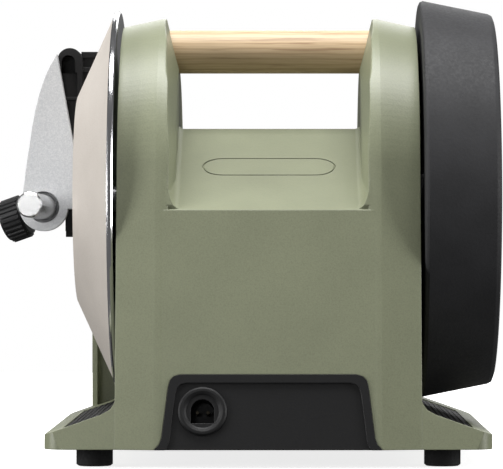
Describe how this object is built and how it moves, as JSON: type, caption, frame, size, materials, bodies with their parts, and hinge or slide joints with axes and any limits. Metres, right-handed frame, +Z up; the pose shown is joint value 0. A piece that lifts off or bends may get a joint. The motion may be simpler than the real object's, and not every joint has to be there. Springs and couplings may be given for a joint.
{
  "type": "bench knife sharpener",
  "caption": "Bench sharpener with a coated conical grinding wheel, a conical honing wheel, a tilting tool support with a round bar, and a wooden carrying handle.",
  "frame": {"origin": "centre of the whole object's footprint box, on the surface it stands on", "axes": "+Z up, X along the spindle with the honing wheel towards +X, -Y towards the rear with the power inlet"},
  "size_m": [0.2422, 0.2154, 0.2165],
  "materials": {
    "green_cast": "sage green powder coat, fine satin texture",
    "black_plastic": "black moulded plastic, fine matt grain",
    "steel": "zinc plated steel",
    "rubber": "black rubber",
    "mat_rubber": "black ribbed rubber",
    "contact_brass": "plated brass",
    "rocker_plastic": "black gloss plastic",
    "oak": "oiled oak, fine straight grain",
    "polished_steel": "polished steel",
    "diamond_coat": "fine diamond grit bonded in nickel, warm light grey",
    "honing_composite": "black honing composite, matt",
    "dark_hub": "dark grey glass filled plastic",
    "motor_steel": "zinc plated sheet steel",
    "circuit_board": "green solder resist",
    "capacitor_sleeve": "blue shrink sleeve",
    "cast_aluminium": "sparkling silver grey coat on a casting",
    "bar_steel": "ground stainless steel",
    "knob_plastic": "black ribbed plastic"
  },
  "bodies": {
    "machine": {"housing": "green_cast", "bottom_plate": "black_plastic", "bottom_plate_screws": "steel", "rubber_feet": "rubber", "foot_screws": "steel", "left_base_mat": "mat_rubber", "right_base_mat": "mat_rubber", "rear_panel": "black_plastic", "front_panel": "black_plastic", "power_inlet": "black_plastic", "inlet_pins": "contact_brass", "switch_frame": "black_plastic", "handle": "oak", "handle_screws": "steel", "bearing_outer_rings": "steel", "bearing_shields": "rubber", "drive_belt": "rubber", "motor_case": "motor_steel", "motor_end_cap": "black_plastic", "motor_bracket": "motor_steel", "motor_screws": "steel", "bracket_bolts": "steel", "control_board": "circuit_board", "board_capacitors": "capacitor_sleeve", "board_spacers": "contact_brass", "support_bracket": "black_plastic", "support_bracket_screws": "steel"},
    "spindle_set": {"spindle": "steel", "bearing_inner_rings": "steel", "grinding_wheel_disc": "polished_steel", "abrasive_coating": "diamond_coat", "grinding_wheel_washer": "steel", "grinding_wheel_nut": "steel", "honing_wheel": "honing_composite", "honing_wheel_hub": "dark_hub", "honing_wheel_nut": "steel", "driven_pulley": "dark_hub"},
    "motor_rotor": {"motor_shaft": "steel", "motor_pulley": "dark_hub"},
    "support": {"support_arm": "cast_aluminium", "support_pivot_pin": "steel"},
    "bar": {"support_bar": "bar_steel"},
    "clamp": {"clamp_knob": "knob_plastic", "clamp_screw": "steel"},
    "rocker": {"rocker_switch": "rocker_plastic"}
  },
  "joints": [
    {"name": "spindle_spin", "type": "hinge", "parent": "machine", "child": "spindle_set", "pos_m": [0.01495, 0, 0.122], "axis": [1, 0, 0], "continuous": true},
    {"name": "motor_spin", "type": "hinge", "parent": "machine", "child": "motor_rotor", "pos_m": [0.01495, 0, 0.047], "axis": [1, 0, 0], "continuous": true},
    {"name": "support_tilt", "type": "hinge", "parent": "machine", "child": "support", "pos_m": [-0.09245, 0.062, 0.18], "axis": [0, 1, 0], "range_deg": [0, 12]},
    {"name": "bar_slide", "type": "slide", "parent": "support", "child": "bar", "axis": [0, 1, 0], "range_m": [-0.015, 0.015]},
    {"name": "clamp_turn", "type": "hinge", "parent": "support", "child": "clamp", "pos_m": [-0.09695, 0.075, 0.1184], "axis": [-0.9149, 0.25, -0.317], "range_deg": [0, 360]},
    {"name": "rocker_tip", "type": "hinge", "parent": "machine", "child": "rocker", "pos_m": [0.03695, 0.09978, 0.0272], "axis": [-1, 0, 0], "range_deg": [0, 12]}
  ],
  "couplings": [
    {"joint": "motor_spin", "follows": "spindle_spin", "ratio": 5}
  ]
}
